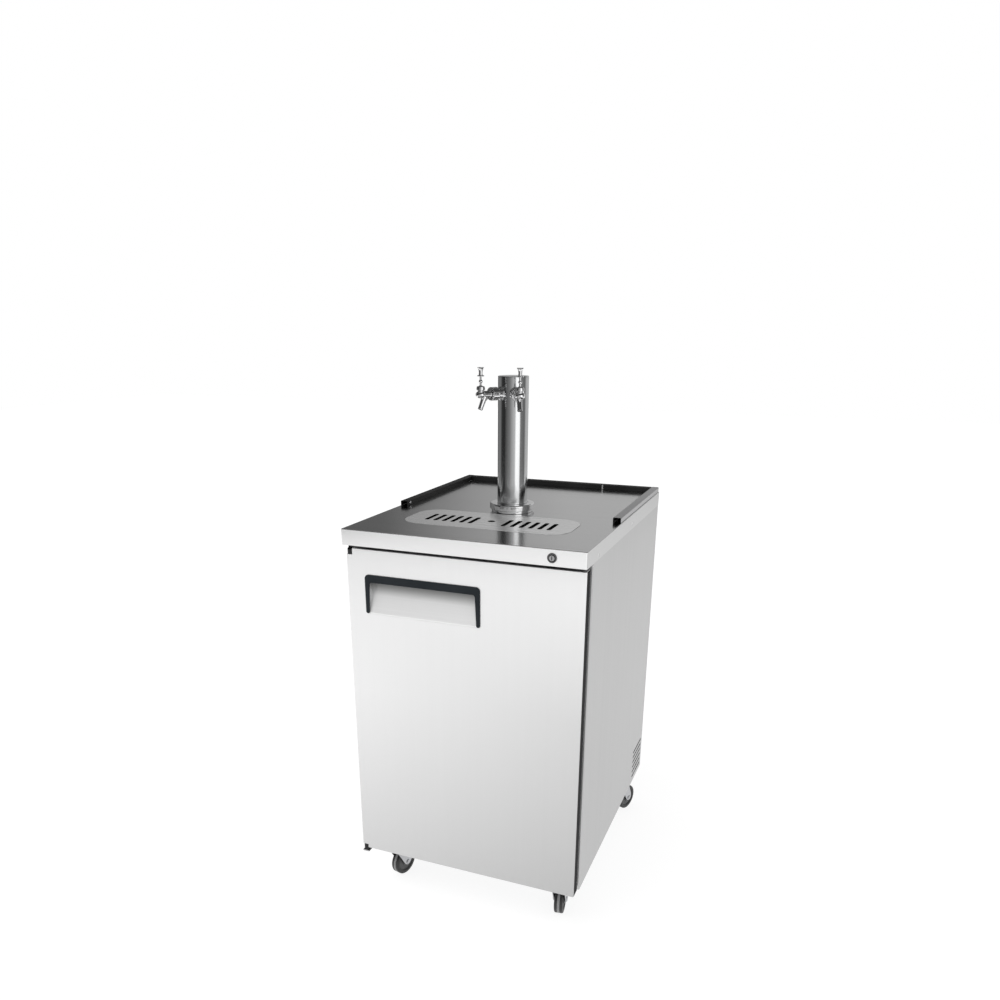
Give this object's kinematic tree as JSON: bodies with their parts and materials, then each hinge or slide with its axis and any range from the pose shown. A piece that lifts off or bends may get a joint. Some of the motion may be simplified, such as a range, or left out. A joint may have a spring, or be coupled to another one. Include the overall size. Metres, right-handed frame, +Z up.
{
  "type": "kegerator",
  "caption": "Stainless draught beer cooler on casters, with a hinged door, a drip tray and a round column that carries two faucets with lever handles.",
  "frame": {"origin": "on the floor, under the middle of the worktop", "axes": "+X to the right of someone who faces the door, +Y to the back, +Z up"},
  "size_m": [0.6, 0.7675, 1.3654],
  "materials": {
    "stainless": "brushed stainless sheet",
    "worktop_steel": "brushed stainless sheet, brighter polish",
    "chrome": "polished",
    "zinc_plate": "zinc plated steel",
    "trim_plastic": "moulded, fine texture",
    "dark_plastic": "moulded",
    "liner_plastic": "white moulded sheet",
    "foam": "rigid foam",
    "gasket_rubber": "soft extrusion",
    "tyre": "moulded",
    "black_paint": "satin black",
    "fin_metal": "finned coil"
  },
  "bodies": {
    "cabinet": {"left_faucet_body": "chrome", "right_faucet_body": "chrome", "tower_column": "chrome", "tower_flange": "chrome", "left_shank": "chrome", "right_shank": "chrome", "compressor": "black_paint", "back_panel": "zinc_plate", "worktop": "worktop_steel", "drip_pan": "stainless", "evaporator_cover": "liner_plastic", "right_side_panel": "stainless", "left_coupling_nut": "chrome", "right_coupling_nut": "chrome", "condenser": "fin_metal", "insulation": "foam", "front_left_caster_plate": "zinc_plate", "front_right_caster_plate": "zinc_plate", "rear_left_caster_plate": "zinc_plate", "rear_right_caster_plate": "zinc_plate", "left_bonnet": "chrome", "right_bonnet": "chrome", "lock_barrel": "zinc_plate", "front_frame": "dark_plastic", "liner": "liner_plastic", "lower_hinge": "black_paint", "upper_hinge": "black_paint", "left_side_panel": "stainless", "right_rail": "worktop_steel", "left_rail": "worktop_steel", "rear_rail": "worktop_steel", "base_pan": "zinc_plate"},
    "door": {"door_skin": "stainless", "door_inner_panel": "liner_plastic", "door_gasket": "gasket_rubber", "handle_trim": "trim_plastic", "handle_pocket": "stainless", "upper_bush": "black_paint", "lower_bush": "black_paint"},
    "left_tap_lever": {"left_lever": "chrome", "left_handle": "chrome"},
    "left_tap_plunger": {"left_plunger": "zinc_plate"},
    "right_tap_lever": {"right_lever": "chrome", "right_handle": "chrome"},
    "right_tap_plunger": {"right_plunger": "zinc_plate"},
    "grille": {"drip_grille": "stainless"},
    "plug": {"lock_plug": "chrome"},
    "cold_fan": {"evaporator_fan": "dark_plastic"},
    "warm_fan": {"condenser_fan": "dark_plastic"},
    "knob": {"thermostat_knob": "dark_plastic"},
    "front_left_swivel": {"front_left_caster_fork": "zinc_plate"},
    "front_left_wheel": {"front_left_caster_wheel": "tyre"},
    "front_left_brake": {"front_left_brake_pedal": "black_paint"},
    "front_right_swivel": {"front_right_caster_fork": "zinc_plate"},
    "front_right_wheel": {"front_right_caster_wheel": "tyre"},
    "front_right_brake": {"front_right_brake_pedal": "black_paint"},
    "rear_left_swivel": {"rear_left_caster_fork": "zinc_plate"},
    "rear_left_wheel": {"rear_left_caster_wheel": "tyre"},
    "rear_right_swivel": {"rear_right_caster_fork": "zinc_plate"},
    "rear_right_wheel": {"rear_right_caster_wheel": "tyre"}
  },
  "joints": [
    {"name": "door_hinge", "type": "hinge", "parent": "cabinet", "child": "door", "pos_m": [-0.289, -0.358, 0.545], "axis": [0, 0, -1], "range_deg": [0, 115], "stiffness_Nm_per_rad": 0.6, "springref_deg": -34.38},
    {"name": "left_lever_pivot", "type": "hinge", "parent": "cabinet", "child": "left_tap_lever", "pos_m": [-0.04994, -0.12009, 1.317], "axis": [0.8746, -0.4848, 0], "range_deg": [0, 28]},
    {"name": "left_plunger_slide", "type": "slide", "parent": "cabinet", "child": "left_tap_plunger", "axis": [0.4848, 0.8746, 0], "range_m": [0, 0.0068]},
    {"name": "right_lever_pivot", "type": "hinge", "parent": "cabinet", "child": "right_tap_lever", "pos_m": [0.04994, -0.12009, 1.317], "axis": [0.8746, 0.4848, 0], "range_deg": [0, 28]},
    {"name": "right_plunger_slide", "type": "slide", "parent": "cabinet", "child": "right_tap_plunger", "axis": [-0.4848, 0.8746, 0], "range_m": [0, 0.0068]},
    {"name": "grille_lift", "type": "slide", "parent": "cabinet", "child": "grille", "axis": [0, 0, 1], "range_m": [0, 0.06]},
    {"name": "lock_turn", "type": "hinge", "parent": "cabinet", "child": "plug", "pos_m": [0.222, -0.37, 0.9904], "axis": [0, 1, 0], "range_deg": [0, 90]},
    {"name": "front_left_swivel_turn", "type": "hinge", "parent": "cabinet", "child": "front_left_swivel", "pos_m": [-0.238, -0.294, 0.114], "axis": [0, 0, 1], "continuous": true},
    {"name": "front_left_wheel_spin", "type": "hinge", "parent": "front_left_swivel", "child": "front_left_wheel", "pos_m": [-0.2305, -0.26392, 0.0381], "axis": [0.9703, -0.2419, 0], "continuous": true},
    {"name": "front_left_brake_turn", "type": "hinge", "parent": "front_left_swivel", "child": "front_left_brake", "pos_m": [-0.223, -0.23384, 0.0711], "axis": [0.9703, -0.2419, 0], "range_deg": [0, 18]},
    {"name": "front_right_swivel_turn", "type": "hinge", "parent": "cabinet", "child": "front_right_swivel", "pos_m": [0.238, -0.294, 0.114], "axis": [0, 0, 1], "continuous": true},
    {"name": "front_right_wheel_spin", "type": "hinge", "parent": "front_right_swivel", "child": "front_right_wheel", "pos_m": [0.23369, -0.2633, 0.0381], "axis": [0.9903, 0.1392, 0], "continuous": true},
    {"name": "front_right_brake_turn", "type": "hinge", "parent": "front_right_swivel", "child": "front_right_brake", "pos_m": [0.22937, -0.2326, 0.0711], "axis": [0.9903, 0.1392, 0], "range_deg": [0, 18]},
    {"name": "rear_left_swivel_turn", "type": "hinge", "parent": "cabinet", "child": "rear_left_swivel", "pos_m": [-0.258, 0.285, 0.114], "axis": [0, 0, 1], "continuous": true},
    {"name": "rear_left_wheel_spin", "type": "hinge", "parent": "rear_left_swivel", "child": "rear_left_wheel", "pos_m": [-0.25369, 0.3157, 0.0381], "axis": [0.9903, -0.1392, 0], "continuous": true},
    {"name": "rear_right_swivel_turn", "type": "hinge", "parent": "cabinet", "child": "rear_right_swivel", "pos_m": [0.258, 0.285, 0.114], "axis": [0, 0, 1], "continuous": true},
    {"name": "rear_right_wheel_spin", "type": "hinge", "parent": "rear_right_swivel", "child": "rear_right_wheel", "pos_m": [0.2686, 0.31413, 0.0381], "axis": [0.9397, -0.342, 0], "continuous": true},
    {"name": "evaporator_fan_spin", "type": "hinge", "parent": "cabinet", "child": "cold_fan", "pos_m": [0.06333, 0.23495, 0.8626], "axis": [0, 1, 0], "continuous": true},
    {"name": "condenser_fan_spin", "type": "hinge", "parent": "cabinet", "child": "warm_fan", "pos_m": [0.17815, 0.3041, 0.1799], "axis": [1, 0, 0], "continuous": true},
    {"name": "thermostat_turn", "type": "hinge", "parent": "cabinet", "child": "knob", "pos_m": [-0.12, 0.221, 0.8921], "axis": [0, 1, 0], "range_deg": [0, 300]}
  ],
  "couplings": [
    {"joint": "left_plunger_slide", "follows": "left_lever_pivot", "m_per_rad": 0.01344},
    {"joint": "right_plunger_slide", "follows": "right_lever_pivot", "m_per_rad": 0.01344}
  ]
}
